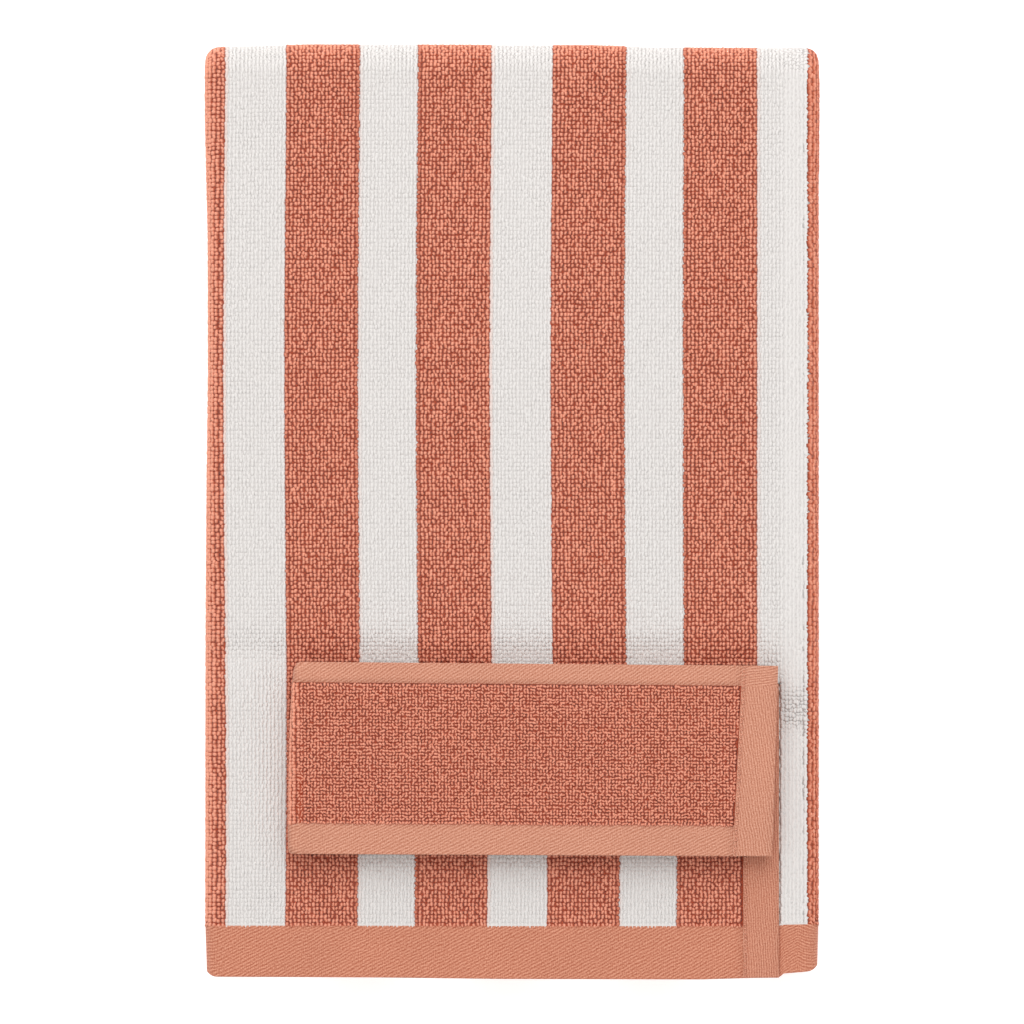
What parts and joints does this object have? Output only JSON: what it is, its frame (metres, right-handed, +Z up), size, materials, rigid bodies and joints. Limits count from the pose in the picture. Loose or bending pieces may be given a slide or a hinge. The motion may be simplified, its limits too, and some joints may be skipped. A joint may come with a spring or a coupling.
{
  "type": "folded hand towel",
  "caption": "Striped terry hand towel folded lengthwise and crosswise into a flat stack, with woven hems and a strip of its plain side turned out on the front.",
  "frame": {"origin": "under the middle of the folded towel's outline, on the surface that it lies on", "axes": "+Y from the open, hemmed end on the front to the top fold, +X to the right seen from above, +Z up"},
  "size_m": [0.1782, 0.2702, 0.0374],
  "materials": {
    "striped_terry": "looped cotton pile, coral and off-white stripes",
    "plain_terry": "looped cotton pile, plain coral",
    "woven_hem": "flat twill weave, coral"
  },
  "bodies": {
    "root": {"towel": "striped_terry"}
  },
  "joints": []
}
